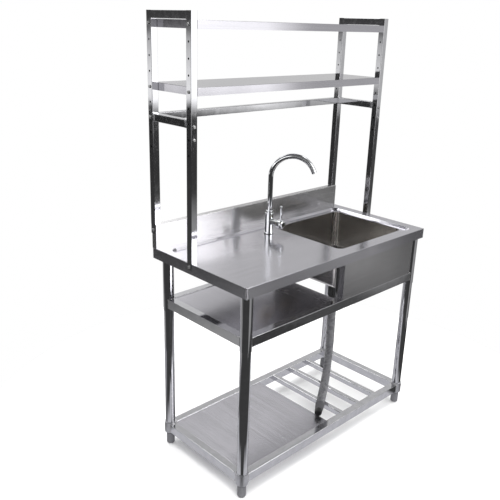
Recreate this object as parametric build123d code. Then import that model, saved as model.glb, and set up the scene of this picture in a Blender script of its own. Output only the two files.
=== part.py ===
"""Free-standing stainless steel hand wash sink on a drainboard table with an over-counter rack.

Millimetres. +X runs along the front from left to right, +Y from front to back, +Z up.
The origin is on the floor, below the middle of the whole object's footprint.
"""
import math
import os

from build123d import *

# ---------------------------------------------------------------- counter
counter_length = 1000.0
counter_depth = 500.0
counter_height = 820.0
sheet = 1.5                     # every pressed or folded sheet part
skirt_height = 39.0             # turned-down edge
skirt_return = 7.0              # inward lip at the foot of the skirt
rim_left = 30.0
rim_right = 43.0
rim_front = 30.0
rim_back = 59.0                 # from the counter's back edge, splash included
rim_corner_radius = 22.0
recess_depth = 8.0
edge_radius = 3.0

splash_height = 90.0
splash_thickness = 24.0
splash_edge_radius = 2.5

# ---------------------------------------------------------------- basin
basin_length = 395.0
basin_depth_y = 345.0
basin_margin_right = 67.5       # from the basin to the counter's right end
basin_margin_front = 64.5       # from the basin to the counter's front edge
basin_drop = 162.0
basin_corner_radius = 26.0
basin_floor_radius = 14.0
basin_flange = 9.0

apron_reach = 29.5              # how far the apron runs past the basin's left side
apron_return = 32.0
apron_flange = 8.0
apron_leg_gap = 2.0

# ---------------------------------------------------------------- legs
leg_inset_x = 30.0
leg_inset_front = 28.5
leg_inset_back = 52.5
tube_diameter = 38.0
sleeve_wall = 1.35
sleeve_clearance = 0.15         # between the sleeve's bore and the lower tube
sleeve_diameter = tube_diameter + 2 * (sleeve_clearance + sleeve_wall)
sleeve_reach = 48.0             # sleeve below the top of the mid rails
tube_wall = 1.2
tube_insert = 60.0              # how far the lower tube runs up inside its sleeve
crossbar_width = 38.0
crossbar_height = 20.0

socket_diameter = 46.0
socket_bottom = 54.0
socket_top = 99.0
socket_seat = 12.0              # depth of the seat that takes the leg tube
foot_diameter = 32.0
foot_gap = 6.0                  # between foot and socket, taken up as the foot is screwed in
foot_edge = 7.0
thread_diameter = 12.0
thread_clearance = 0.05
thread_length = 26.0

# ---------------------------------------------------------------- rails, shelves and slats
rail_width = 30.0
rail_height = 35.0
rail_wall = 1.5
mid_rail_drop = 189.0           # top of the mid rails below the counter's top
base_rail_top = 94.0
weld_gap = 0.02
panel_drop = 2.0                # panel surface below the rail's top
panel_edge = 22.0
panel_gap = 0.3
mid_panel_gap = 4.0             # between the mid panel and the apron's left end
base_panel_offset = 6.0         # how far the base panel runs past the mid panel
slat_width = 20.0
slat_height = 22.0
slat_drop = 1.5
slat_count = 3
slat_first_gap = 94.0           # from the base panel to the middle of the first slat
slat_last_gap = 145.0           # from the last slat's middle to the right legs' axis

# ---------------------------------------------------------------- rack
rack_tube = 25.0
rack_wall = 1.2
rack_height = 808.0             # above the counter
rack_depth = 232.0
rack_overhang = 5.0             # behind the counter
rack_tab_front = 25.0           # outer wall carried down over the skirt
rack_tab_back = 34.0            # outer wall carried down over the splash end
rack_shelf_edge = 26.0
rack_shelf_gap = 0.3
hole_pitch = 50.0
hole_count = 9
hole_diameter = 7.0
top_hole_drop = 39.0            # first hole below the top of the upright
middle_shelf_hole = 4           # number of the hole that carries each rack level
brace_hole = 6
bolt_diameter = 6.0
bolt_head_diameter = 11.0
bolt_head_height = 3.5
bolt_reach = 5.0                # shank past the wall that it clamps
nut_across_flats = 10.0
nut_height = 4.0
front_tab_bolt_drop = 13.0      # below the counter's top
back_tab_bolt_drop = 21.0       # below the splash's top
front_bolt_drops = (347.0, 389.0)   # bolts in the front face of the front uprights, below the top

# ---------------------------------------------------------------- faucet
faucet_gap = 67.5               # from the basin's left side to the faucet's axis
faucet_setback = 125.0          # from the counter's back edge to the faucet's axis
faucet_body_diameter = 33.0
faucet_flange_diameter = 39.0
faucet_flange_height = 4.0
faucet_gasket_height = 2.0
faucet_body_height = 84.0
faucet_hole_clearance = 1.0
shank_diameter = 32.0
shank_length = 44.0
mounting_nut_across = 50.0
mounting_nut_height = 12.0
inlet_diameter = 10.0
inlet_depth = 12.0
inlet_spacing = 14.0
spout_nut_diameter = 27.0
spout_nut_height = 10.0
spout_diameter = 20.0
spout_wall = 1.5
spout_insert = 26.0             # length inside the body
spout_rise = 228.0              # from the deck to the start of the bend
spout_radius = 84.0
spout_sweep = 156.0
spout_tip = 13.0                # straight end after the bend
spout_heading = -50.0           # degrees from +X, as it stands at rest
running_clearance = 0.05
aerator_clearance = 0.1
aerator_length = 12.0
aerator_hole_diameter = 2.4

valve_height = 51.0             # above the deck
valve_reach = 50.0              # from the faucet's axis to the centre of the dome
valve_housing_diameter = 26.0
valve_housing_gap = 2.0         # end of the housing behind the dome's centre
dome_radius = 14.0
spigot_diameter = 16.0
spigot_length = 20.0
stem_diameter = 6.0
stem_slot_clearance = 0.4
tilt_range = 20.0
cap_clearance = 0.4
cap_diameter = 35.0
cap_length = 24.0
cap_round = 9.0
lever_diameter = 8.6
lever_length = 56.0
lever_set = 13.0                # of the lever's axis in front of the dome's centre
lever_socket = 6.0              # how deep the lever sits in the cap

# ---------------------------------------------------------------- drain and hose
drain_flange_diameter = 72.0
drain_flange_height = 2.0
drain_neck_diameter = 42.0
drain_neck_clearance = 1.0
drain_wall = 2.5
strainer_hole_diameter = 6.5
drain_gasket_height = 2.5
drain_body_diameter = 62.0
drain_body_height = 34.0
drain_outlet_diameter = 38.0
drain_outlet_length = 114.0     # below the drain body's flange
coupling_diameter = 44.0
coupling_height = 44.0
coupling_reach = 17.0           # coupling nut below the end of the outlet
coupling_ribs = 20
coupling_clearance = 0.1
hose_diameter = 36.0
hose_bore = 30.0
cuff_large_diameter = 38.0
cuff_small_diameter = 29.0
cuff_length = 44.0
hose_cap_diameter = 31.0
hose_cap_length = 22.0

# Route of the hose's centreline, from the coupling down and forward to its cuff
hose_route = [
    (235.0, -15.5, 515.0),
    (235.0, -15.5, 448.0),
    (244.5, -9.5, 362.0),
    (246.0, -9.5, 274.0),
    (232.0, -18.5, 216.0),
    (204.0, -36.5, 168.5),
    (164.0, -62.0, 136.5),
    (111.0, -96.0, 119.0),
    (54.0, -133.5, 114.5),
]

# ---------------------------------------------------------------- derived places
half_length = counter_length / 2
front_y = -(counter_depth + rack_overhang) / 2
back_y = front_y + counter_depth
deck_z = counter_height - recess_depth
pan_under_z = deck_z - sheet
skirt_bottom_z = counter_height - skirt_height
splash_front_y = back_y - splash_thickness
splash_top_z = counter_height + splash_height

leg_x = half_length - leg_inset_x
leg_front_y = front_y + leg_inset_front
leg_back_y = back_y - leg_inset_back
leg_places = {
    "front_left": (-leg_x, leg_front_y),
    "front_right": (leg_x, leg_front_y),
    "back_left": (-leg_x, leg_back_y),
    "back_right": (leg_x, leg_back_y),
}
sleeve_top_z = pan_under_z - crossbar_height

rack_outer_x = half_length + rack_wall
rack_inner_x = rack_outer_x - rack_tube
rack_back_y = back_y + rack_overhang
rack_front_y = rack_back_y - rack_depth
rack_top_z = counter_height + rack_height
rack_hole_z = [rack_top_z - top_hole_drop - hole_pitch * i for i in range(hole_count)]

basin_center_x = half_length - basin_margin_right - basin_length / 2
basin_center_y = front_y + basin_margin_front + basin_depth_y / 2
basin_floor_z = deck_z - basin_drop
basin_under_z = basin_floor_z - sheet

mid_rail_top = counter_height - mid_rail_drop
sleeve_bottom = mid_rail_top - sleeve_reach
apron_left_x = basin_center_x - basin_length / 2 - apron_reach
mid_panel_right_x = apron_left_x - mid_panel_gap
base_panel_right_x = mid_panel_right_x + base_panel_offset
slat_first_x = base_panel_right_x + slat_first_gap
slat_last_x = leg_x - slat_last_gap
slat_pitch = (slat_last_x - slat_first_x) / (slat_count - 1)

faucet_x = basin_center_x - basin_length / 2 - faucet_gap
faucet_y = back_y - faucet_setback
drain_outlet_bottom = basin_under_z - drain_gasket_height - drain_outlet_length
coupling_bottom = drain_outlet_bottom - coupling_reach


def block(x0, x1, y0, y1, z0, z1):
    """Box between two corners."""
    center = Pos((x0 + x1) / 2, (y0 + y1) / 2, (z0 + z1) / 2)
    return center * Box(x1 - x0, y1 - y0, z1 - z0)


def post(x, y, z0, z1, diameter):
    """Upright cylinder."""
    return Pos(x, y, (z0 + z1) / 2) * Cylinder(diameter / 2, z1 - z0)


def rod(start, direction, length, diameter):
    """Cylinder from a point along a direction."""
    plane = Plane(origin=start, z_dir=direction)
    return plane * Pos(0, 0, length / 2) * Cylinder(diameter / 2, length)


def hexagon(across_flats, height):
    """Hexagonal prism standing on the XY plane."""
    return extrude(RegularPolygon(across_flats / 2, 6, major_radius=False), height)


def rounded_block(x0, x1, y0, y1, z0, z1, radius):
    """Box with rounded upright corners."""
    outline = RectangleRounded(x1 - x0, y1 - y0, radius)
    return Pos((x0 + x1) / 2, (y0 + y1) / 2, z0) * extrude(outline, z1 - z0)


def pan_block(grow, z0, z1):
    """Sloping-sided block of the pressed deck, widened all round by grow at its lower face."""
    x0 = -half_length + rim_left + recess_depth - grow
    x1 = half_length - rim_right - recess_depth + grow
    y0 = front_y + rim_front + recess_depth - grow
    y1 = back_y - rim_back - recess_depth + grow
    outline = RectangleRounded(x1 - x0, y1 - y0, rim_corner_radius)
    solid = extrude(outline, z1 - z0, taper=-45)
    return Pos((x0 + x1) / 2, (y0 + y1) / 2, z0) * solid


def basin_outline(z0, z1, grow=0.0):
    """Block of the basin's plan, widened all round by grow."""
    return rounded_block(
        basin_center_x - basin_length / 2 - grow,
        basin_center_x + basin_length / 2 + grow,
        basin_center_y - basin_depth_y / 2 - grow,
        basin_center_y + basin_depth_y / 2 + grow,
        z0,
        z1,
        basin_corner_radius + grow,
    )


# ---------------------------------------------------------------- counter parts
def make_countertop():
    """Pressed drainboard top with a raised rim, a skirt, the basin opening and the faucet hole."""
    outer = block(-half_length, half_length, front_y, back_y, skirt_bottom_z, counter_height)
    upright_edges = outer.edges().filter_by(Axis.Z)
    outer = fillet(upright_edges, edge_radius)
    outer = fillet(outer.edges().group_by(Axis.Z)[-1], edge_radius / 2)
    inner = block(
        -half_length + sheet,
        half_length - sheet,
        front_y + sheet,
        back_y - sheet,
        skirt_bottom_z,
        counter_height - sheet,
    )
    pan = pan_block(sheet * 0.6, pan_under_z, counter_height - sheet)
    lip = block(
        -half_length + sheet,
        half_length - sheet,
        front_y + sheet,
        back_y - sheet,
        skirt_bottom_z,
        skirt_bottom_z + sheet,
    )
    lip -= block(
        -half_length + skirt_return,
        half_length - skirt_return,
        front_y + skirt_return,
        back_y - skirt_return,
        skirt_bottom_z - 1,
        skirt_bottom_z + sheet + 1,
    )
    top = outer - pan_block(0.0, deck_z, counter_height + 0.01) - (inner - pan) + lip
    top -= basin_outline(pan_under_z - 1, deck_z + 1)
    top -= post(faucet_x, faucet_y, pan_under_z - 1, deck_z + 1, shank_diameter + 2 * faucet_hole_clearance)
    hole_z = counter_height - front_tab_bolt_drop
    for x in (-half_length, half_length):
        top -= Pos(x, rack_front_y + rack_tube / 2, hole_z) * Rot(0, 90, 0) * Cylinder(hole_diameter / 2, 8)
    return top


def make_backsplash():
    """Folded upstand along the back, closed at both ends and open underneath."""
    outer = block(-half_length, half_length, splash_front_y, back_y, counter_height, splash_top_z)
    outer = fillet(outer.edges().filter_by(Axis.X).group_by(Axis.Z)[-1], splash_edge_radius)
    inner = block(
        -half_length + sheet,
        half_length - sheet,
        splash_front_y + sheet,
        back_y - sheet,
        counter_height,
        splash_top_z - sheet,
    )
    splash = outer - inner
    hole_z = splash_top_z - back_tab_bolt_drop
    hole_y = rack_back_y - rack_tube / 2
    for x in (-half_length, half_length):
        splash -= Pos(x, hole_y, hole_z) * Rot(0, 90, 0) * Cylinder(hole_diameter / 2, 8)
    return splash


def make_basin():
    """Deep-drawn rectangular basin that hangs by a narrow flange below the deck."""
    outer = basin_outline(basin_under_z, pan_under_z, sheet)
    outer = fillet(outer.edges().group_by(Axis.Z)[0], basin_floor_radius + sheet)
    inner = basin_outline(basin_floor_z, pan_under_z + 1)
    inner = fillet(inner.edges().group_by(Axis.Z)[0], basin_floor_radius)
    flange = basin_outline(pan_under_z - sheet, pan_under_z, basin_flange)
    hole = post(
        basin_center_x,
        basin_center_y,
        basin_under_z - 1,
        basin_floor_z + 1,
        drain_neck_diameter + 2 * drain_neck_clearance,
    )
    return outer + flange - inner - hole


def make_apron():
    """Folded panel in front of the basin, with a return and a flange at each end."""
    x0 = apron_left_x
    x1 = leg_x - sleeve_diameter / 2 - apron_leg_gap
    y0 = leg_front_y - rail_width / 2
    z0 = mid_rail_top
    z1 = skirt_bottom_z + sheet + 8.0
    apron = block(x0, x1, y0, y0 + sheet, z0, z1)
    for edge, way in ((x0, -1), (x1, 1)):
        inner = edge - way * sheet
        apron += block(min(edge, inner), max(edge, inner), y0, y0 + apron_return, z0, z1)
    y1 = y0 + apron_return
    apron += block(x0 - apron_flange, x0 + sheet, y1 - sheet, y1, z0, z1)
    apron += block(x0 + sheet, x1 - sheet, y0 + sheet, y0 + rail_width / 2, z0, z0 + sheet)
    return apron


def make_crossbar(side):
    """Channel below the counter that joins a front and a back leg."""
    x = side * leg_x
    half = crossbar_width / 2
    y0 = leg_front_y - sleeve_diameter / 2
    y1 = leg_back_y + sleeve_diameter / 2
    bar = block(x - half, x + half, y0, y1, sleeve_top_z, pan_under_z)
    return bar - block(x - half + sheet, x + half - sheet, y0 - 1, y1 + 1, sleeve_top_z + sheet, pan_under_z - sheet)


# ---------------------------------------------------------------- legs
def make_sleeve(x, y):
    """Upper leg tube, fixed to the crossbar."""
    sleeve = post(x, y, sleeve_bottom, sleeve_top_z, sleeve_diameter)
    return sleeve - post(x, y, sleeve_bottom - 1, sleeve_top_z + 1, sleeve_diameter - 2 * sleeve_wall)


def make_leg_tube(x, y):
    """Lower leg tube, from its seat in the socket to inside the sleeve."""
    z0 = socket_top - socket_seat
    z1 = sleeve_bottom + tube_insert
    tube = post(x, y, z0, z1, tube_diameter)
    return tube - post(x, y, z0 - 1, z1 + 1, tube_diameter - 2 * tube_wall)


def make_socket(x, y):
    """Corner hub that holds the leg tube above and the threaded foot below."""
    socket = post(x, y, socket_bottom, socket_top, socket_diameter)
    socket = fillet(socket.edges().group_by(Axis.Z)[0], 3.0)
    seat = post(x, y, socket_top - socket_seat, socket_top + 1, tube_diameter + 2 * weld_gap)
    bore = post(x, y, socket_bottom - 1, socket_top, thread_diameter + 2 * thread_clearance)
    return socket - seat - bore


def make_foot(x, y):
    """Levelling foot with its threaded stem."""
    top = socket_bottom - foot_gap
    body = post(x, y, 0, top, foot_diameter)
    body = fillet(body.edges().group_by(Axis.Z)[0], foot_edge)
    body = fillet(body.edges().group_by(Axis.Z)[-1], 2.0)
    return body + post(x, y, top - 1, socket_bottom + thread_length, thread_diameter)


# ---------------------------------------------------------------- rails, shelves and slats
def make_rail(name, top, corner_diameter):
    """Rectangular tube between two legs, coped to the round corners that it meets."""
    half = rail_width / 2
    z0 = top - rail_height
    if name in ("front", "back"):
        y = leg_front_y if name == "front" else leg_back_y
        rail = block(-leg_x, leg_x, y - half, y + half, z0, top)
        rail = fillet(rail.edges().filter_by(Axis.X), 1.5)
        bore = block(
            -leg_x - 1, leg_x + 1, y - half + rail_wall, y + half - rail_wall, z0 + rail_wall, top - rail_wall
        )
    else:
        x = -leg_x if name == "left" else leg_x
        y0 = leg_front_y + half + weld_gap
        y1 = leg_back_y - half - weld_gap
        rail = block(x - half, x + half, y0, y1, z0, top)
        rail = fillet(rail.edges().filter_by(Axis.Y), 1.5)
        bore = block(
            x - half + rail_wall,
            x + half - rail_wall,
            y0 - 1,
            y1 + 1,
            z0 + rail_wall,
            top - rail_wall,
        )
    rail -= bore
    for x, y in leg_places.values():
        rail -= post(x, y, z0 - 1, top + 1, corner_diameter + 2 * weld_gap)
    return rail


def make_panel(right_x, top):
    """Solid half shelf with turned-down edges, set between the rails."""
    inset = rail_width / 2 + panel_gap
    z1 = top - panel_drop
    z0 = z1 - panel_edge
    x0 = -leg_x + inset
    y0 = leg_front_y + inset
    y1 = leg_back_y - inset
    panel = block(x0, right_x, y0, y1, z0, z1)
    panel = fillet(panel.edges().group_by(Axis.Z)[-1], 1.2)
    panel -= block(x0 + sheet, right_x - sheet, y0 + sheet, y1 - sheet, z0 - 1, z1 - sheet)
    for x, y in leg_places.values():
        panel -= post(x, y, z0 - 1, z1 + 1, socket_diameter + 2 * panel_gap)
    return panel


def make_slat(x):
    """Square bar across the open half of the base shelf."""
    inset = rail_width / 2 + panel_gap
    half = slat_width / 2
    z1 = base_rail_top - slat_drop
    z0 = z1 - slat_height
    y0 = leg_front_y + inset
    y1 = leg_back_y - inset
    slat = block(x - half, x + half, y0, y1, z0, z1)
    slat = fillet(slat.edges().filter_by(Axis.Y), 2.0)
    return slat - block(x - half + sheet, x + half - sheet, y0 - 1, y1 + 1, z0 + sheet, z1 - sheet)


# ---------------------------------------------------------------- rack
def square_tube(x0, x1, y0, y1, z0, z1, axis):
    """Thin square tube with lightly rounded long edges."""
    solid = block(x0, x1, y0, y1, z0, z1)
    solid = fillet(solid.edges().filter_by(axis), 1.5)
    dx, dy, dz = (0 if axis == other else rack_wall for other in (Axis.X, Axis.Y, Axis.Z))
    over_x, over_y, over_z = (1 if axis == other else 0 for other in (Axis.X, Axis.Y, Axis.Z))
    return solid - block(
        x0 + dx - over_x, x1 - dx + over_x,
        y0 + dy - over_y, y1 - dy + over_y,
        z0 + dz - over_z, z1 - dz + over_z,
    )


def make_upright(side, is_front):
    """Rack post with a row of shelf holes and a fixing tab that laps over the counter."""
    xs = sorted((side * rack_inner_x, side * rack_outer_x))
    y0 = rack_front_y if is_front else rack_back_y - rack_tube
    y1 = y0 + rack_tube
    z0 = counter_height if is_front else splash_top_z
    tab = rack_tab_front if is_front else rack_tab_back
    tab_bolt_z = z0 - (front_tab_bolt_drop if is_front else back_tab_bolt_drop)
    upright = square_tube(xs[0], xs[1], y0, y1, z0, rack_top_z, Axis.Z)
    upright += block(xs[0] + 1, xs[1] - 1, y0 + 1, y1 - 1, rack_top_z - rack_wall, rack_top_z)
    wall = sorted((side * half_length, side * rack_outer_x))
    upright += block(wall[0], wall[1], y0 + 2, y1 - 2, z0 - tab, z0 + 2)
    for z in rack_hole_z + [tab_bolt_z]:
        upright -= Pos(side * rack_outer_x, y0 + rack_tube / 2, z) * Rot(0, 90, 0) * Cylinder(
            hole_diameter / 2, 3 * rack_tube
        )
    if is_front:
        for drop in front_bolt_drops:
            upright -= Pos(sum(xs) / 2, y0, rack_top_z - drop) * Rot(90, 0, 0) * Cylinder(
                hole_diameter / 2, rack_tube
            )
    return upright


def make_rack_bar(side, z_center):
    """Bar between the front and the back upright of one end."""
    xs = sorted((side * rack_inner_x, side * rack_outer_x))
    y0 = rack_front_y + rack_tube + weld_gap
    y1 = rack_back_y - rack_tube - weld_gap
    half = rack_tube / 2
    return square_tube(xs[0], xs[1], y0, y1, z_center - half, z_center + half, Axis.Y)


def make_back_bar():
    """Brace between the two back uprights."""
    z = rack_hole_z[brace_hole]
    x = rack_inner_x - weld_gap
    half = rack_tube / 2
    return square_tube(-x, x, rack_back_y - rack_tube, rack_back_y, z - half, z + half, Axis.X)


def make_rack_shelf(z_center):
    """Tray shelf with turned-down edges, bolted between the end frames."""
    x = rack_inner_x - rack_shelf_gap
    z0 = z_center - rack_shelf_edge / 2
    z1 = z_center + rack_shelf_edge / 2
    shelf = block(-x, x, rack_front_y, rack_back_y, z0, z1)
    shelf = fillet(shelf.edges().group_by(Axis.Z)[-1], 1.2)
    shelf -= block(-x + sheet, x - sheet, rack_front_y + sheet, rack_back_y - sheet, z0 - 1, z1 - sheet)
    for y in (rack_front_y + rack_tube / 2, rack_back_y - rack_tube / 2):
        shelf -= Pos(0, y, z_center) * Rot(0, 90, 0) * Cylinder(hole_diameter / 2, counter_length)
    return shelf


def make_bolt(origin, direction, grip):
    """Button-head bolt and its nut, from an outer face inwards."""
    shank_length = grip + nut_height + bolt_reach
    head = Cylinder(bolt_head_diameter / 2, bolt_head_height)
    head = fillet(head.edges().group_by(Axis.Z)[0], bolt_head_height / 2)
    bolt = Pos(0, 0, -bolt_head_height / 2) * head
    bolt += Pos(0, 0, shank_length / 2 - 0.5) * Cylinder(bolt_diameter / 2, shank_length + 1)
    nut = Pos(0, 0, grip) * hexagon(nut_across_flats, nut_height)
    nut -= Cylinder(bolt_diameter / 2 + weld_gap, 4 * rack_tube)
    place = Plane(origin=origin, z_dir=direction)
    return [place * bolt, place * nut]


def make_rack_bolts():
    """All the rack's bolts and nuts."""
    front = rack_front_y + rack_tube / 2
    back = rack_back_y - rack_tube / 2
    shelf_grip = rack_tube + rack_shelf_gap + sheet
    pieces = []
    for side in (-1, 1):
        x = side * rack_outer_x
        inwards = (-side, 0, 0)
        for y in (front, back):
            for hole in (0, middle_shelf_hole):
                pieces += make_bolt((x, y, rack_hole_z[hole]), inwards, shelf_grip)
        pieces += make_bolt((x, back, rack_hole_z[brace_hole]), inwards, rack_tube)
        pieces += make_bolt((x, front, counter_height - front_tab_bolt_drop), inwards, rack_wall + sheet)
        pieces += make_bolt((x, back, splash_top_z - back_tab_bolt_drop), inwards, rack_wall + sheet)
        for drop in front_bolt_drops:
            origin = (x - side * rack_tube / 2, rack_front_y, rack_top_z - drop)
            pieces += make_bolt(origin, (0, 1, 0), rack_wall)
    return pieces


# ---------------------------------------------------------------- faucet
valve_z = deck_z + valve_height
dome_y = faucet_y - valve_reach
body_bottom_z = deck_z + faucet_gasket_height
body_top_z = deck_z + faucet_body_height


def make_faucet_gasket():
    """Flat seal below the faucet's flange."""
    ring = post(faucet_x, faucet_y, deck_z, body_bottom_z, faucet_flange_diameter)
    return ring - post(faucet_x, faucet_y, deck_z - 1, body_bottom_z + 1, shank_diameter + 2 * weld_gap)


def make_faucet_body():
    """Cast body with its threaded shank, two inlet ports and the side valve housing."""
    body = post(faucet_x, faucet_y, body_bottom_z, body_top_z, faucet_body_diameter)
    body = fillet(body.edges().group_by(Axis.Z)[-1], 1.5)
    flange = post(faucet_x, faucet_y, body_bottom_z, body_bottom_z + faucet_flange_height, faucet_flange_diameter)
    flange = fillet(flange.edges().group_by(Axis.Z)[-1], 1.5)
    shank_z = pan_under_z - shank_length
    body += flange + post(faucet_x, faucet_y, shank_z, body_bottom_z, shank_diameter)
    housing_length = valve_reach - valve_housing_gap
    body += rod((faucet_x, faucet_y, valve_z), (0, -1, 0), housing_length, valve_housing_diameter)
    bore_start = valve_reach - valve_housing_gap - spigot_length - 1
    body -= rod(
        (faucet_x, faucet_y - bore_start, valve_z),
        (0, -1, 0),
        valve_reach,
        spigot_diameter + 2 * running_clearance,
    )
    spout_bore_z = body_top_z - spout_insert - 0.5
    body -= post(faucet_x, faucet_y, spout_bore_z, body_top_z + 1, spout_diameter + 2 * running_clearance)
    for side in (-1, 1):
        body -= post(
            faucet_x + side * inlet_spacing / 2, faucet_y, shank_z - 1, shank_z + inlet_depth, inlet_diameter
        )
    return body


def make_mounting_nut():
    """Large nut that clamps the faucet to the deck from below."""
    z1 = pan_under_z
    nut = Pos(faucet_x, faucet_y, z1 - mounting_nut_height) * hexagon(mounting_nut_across, mounting_nut_height)
    return nut - post(
        faucet_x, faucet_y, z1 - mounting_nut_height - 1, z1 + 1, shank_diameter + 2 * weld_gap
    )


def make_spout_nut():
    """Collar on top of the body that holds the swivel spout."""
    z1 = body_top_z + spout_nut_height
    nut = post(faucet_x, faucet_y, body_top_z, z1, spout_nut_diameter)
    nut = fillet(nut.edges().group_by(Axis.Z)[-1], 2.0)
    return nut - post(faucet_x, faucet_y, body_top_z - 1, z1 + 1, spout_diameter + 2 * running_clearance)


def spout_plane():
    """Upright plane that the spout bends in, its X axis along the spout's heading."""
    heading = math.radians(spout_heading)
    along = (math.cos(heading), math.sin(heading), 0)
    normal = (math.sin(heading), -math.cos(heading), 0)
    return Plane(origin=(faucet_x, faucet_y, 0), x_dir=along, z_dir=normal)


def make_spout():
    """Gooseneck tube: a straight rise and one long bend."""
    plane = spout_plane()
    start_z = body_top_z - spout_insert
    bend_z = deck_z + spout_rise
    rise = Line((0, start_z), (0, bend_z))
    bend = CenterArc((spout_radius, bend_z), spout_radius, 180, -spout_sweep)
    tip = Line(bend @ 1, bend @ 1 + (bend % 1) * spout_tip)
    path = plane * Curve([rise, bend, tip])
    section = Plane(origin=(faucet_x, faucet_y, start_z), z_dir=(0, 0, 1)) * Circle(spout_diameter / 2)
    bore = Plane(origin=(faucet_x, faucet_y, start_z), z_dir=(0, 0, 1)) * Circle(
        spout_diameter / 2 - spout_wall
    )
    return sweep(section, path=path) - sweep(bore, path=path)


def spout_end():
    """Plane at the spout's mouth, its Z axis along the water's way out."""
    turn = math.radians(180 - spout_sweep)
    heading = math.radians(spout_heading)
    reach = spout_radius + spout_radius * math.cos(turn) + spout_tip * math.sin(turn)
    z = deck_z + spout_rise + spout_radius * math.sin(turn) - spout_tip * math.cos(turn)
    flow_out = math.sin(turn)
    origin = (faucet_x + reach * math.cos(heading), faucet_y + reach * math.sin(heading), z)
    way = (flow_out * math.cos(heading), flow_out * math.sin(heading), -math.cos(turn))
    return Plane(origin=origin, z_dir=way)


def make_aerator():
    """Perforated insert in the spout's mouth."""
    radius = spout_diameter / 2 - spout_wall - aerator_clearance
    insert = Pos(0, 0, -aerator_length / 2) * Cylinder(radius, aerator_length)
    holes = [Pos(0, 0, 0)]
    holes += list(PolarLocations(radius * 0.35, 6))
    holes += list(PolarLocations(radius * 0.7, 12))
    for hole in holes:
        insert -= hole * Cylinder(aerator_hole_diameter / 2, 3 * aerator_length)
    return spout_end() * insert


def make_valve_dome():
    """Turning ball of the valve: a dome with a spigot in the housing and a slot for the stem."""
    center = (faucet_x, dome_y, valve_z)
    dome = Pos(*center) * Sphere(dome_radius)
    keep_depth = dome_radius + valve_housing_gap - 0.3
    dome &= block(
        faucet_x - dome_radius,
        faucet_x + dome_radius,
        dome_y - dome_radius,
        dome_y - dome_radius + keep_depth,
        valve_z - dome_radius,
        valve_z + dome_radius,
    )
    dome += rod(center, (0, 1, 0), spigot_length, spigot_diameter)
    half_slot = stem_diameter / 2 + stem_slot_clearance
    drop = dome_radius * math.sin(math.radians(tilt_range)) + half_slot + 1
    return dome - block(
        faucet_x - half_slot,
        faucet_x + half_slot,
        dome_y - dome_radius - 1,
        dome_y - 1,
        valve_z - drop,
        valve_z + half_slot,
    )


def make_handle_cap():
    """Rounded cap over the valve's dome, in one piece with its stem."""
    rear_y = dome_y - 2
    cap = rod((faucet_x, rear_y, valve_z), (0, -1, 0), cap_length, cap_diameter)
    cap = fillet(cap.edges().group_by(Axis.Y)[0], cap_round)
    cap -= Pos(faucet_x, dome_y, valve_z) * Sphere(dome_radius + cap_clearance)
    stem_start = dome_y - 5
    cap += rod((faucet_x, stem_start, valve_z), (0, -1, 0), dome_radius, stem_diameter)
    return cap - lever_seat()


def lever_base_z():
    """Height of the lever's lower end."""
    return valve_z + cap_diameter / 2 - lever_socket


def lever_seat():
    """Hole in the cap that takes the lever."""
    y = dome_y - lever_set
    return post(faucet_x, y, lever_base_z(), valve_z + cap_diameter, lever_diameter + 2 * weld_gap)


def make_lever():
    """Slim upright stick with a rounded top."""
    z0 = lever_base_z()
    z1 = valve_z + cap_diameter / 2 + lever_length
    stick = post(faucet_x, dome_y - lever_set, z0, z1, lever_diameter)
    return fillet(stick.edges().group_by(Axis.Z)[-1], lever_diameter * 0.4)


# ---------------------------------------------------------------- drain and hose
body_flange_z = basin_under_z - drain_gasket_height


def make_drain_flange():
    """Strainer flange in the basin's floor with a threaded neck below it."""
    x = basin_center_x
    y = basin_center_y
    top_z = basin_floor_z + drain_flange_height
    neck_z = body_flange_z - 12.0
    flange = post(x, y, basin_floor_z, top_z, drain_flange_diameter)
    flange = fillet(flange.edges().group_by(Axis.Z)[-1], 0.8)
    flange += post(x, y, neck_z, basin_floor_z, drain_neck_diameter)
    flange -= post(x, y, neck_z - 1, basin_floor_z - 1, drain_neck_diameter - 2 * drain_wall)
    holes = [Pos(0, 0, 0)]
    holes += list(PolarLocations(9.0, 6))
    for hole in holes:
        flange -= Pos(x, y, top_z) * hole * Cylinder(strainer_hole_diameter / 2, 10)
    return flange


def make_drain_gasket():
    """Rubber ring between the basin and the drain body."""
    ring = post(basin_center_x, basin_center_y, body_flange_z, basin_under_z, drain_body_diameter)
    bore = drain_neck_diameter + 2 * drain_neck_clearance
    return ring - post(basin_center_x, basin_center_y, body_flange_z - 1, basin_under_z + 1, bore)


def make_drain_body():
    """Plastic bell below the basin with its outlet tube."""
    x = basin_center_x
    y = basin_center_y
    bell_z = body_flange_z - drain_body_height
    bell = post(x, y, bell_z, body_flange_z, drain_body_diameter)
    bell = chamfer(bell.edges().group_by(Axis.Z)[0], 9.0)
    body = bell + post(x, y, drain_outlet_bottom, bell_z + 1, drain_outlet_diameter)
    bell_bore = drain_neck_diameter + 2 * weld_gap
    body -= post(x, y, bell_z + drain_wall, body_flange_z + 1, bell_bore)
    bore = drain_outlet_diameter - 2 * drain_wall
    return body - post(x, y, drain_outlet_bottom - 1, body_flange_z, bore)


def make_coupling():
    """Ribbed nut that holds the hose on the drain's outlet."""
    x = basin_center_x
    y = basin_center_y
    z0 = coupling_bottom
    z1 = coupling_bottom + coupling_height
    nut = post(x, y, z0, z1, coupling_diameter)
    for place in PolarLocations(coupling_diameter / 2, coupling_ribs):
        nut += Pos(x, y, (z0 + z1) / 2) * place * Cylinder(1.2, coupling_height - 6)
    nut -= post(x, y, drain_outlet_bottom, z1 + 1, drain_outlet_diameter + 2 * coupling_clearance)
    return nut - post(x, y, z0 - 1, z1, hose_bore)


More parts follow.
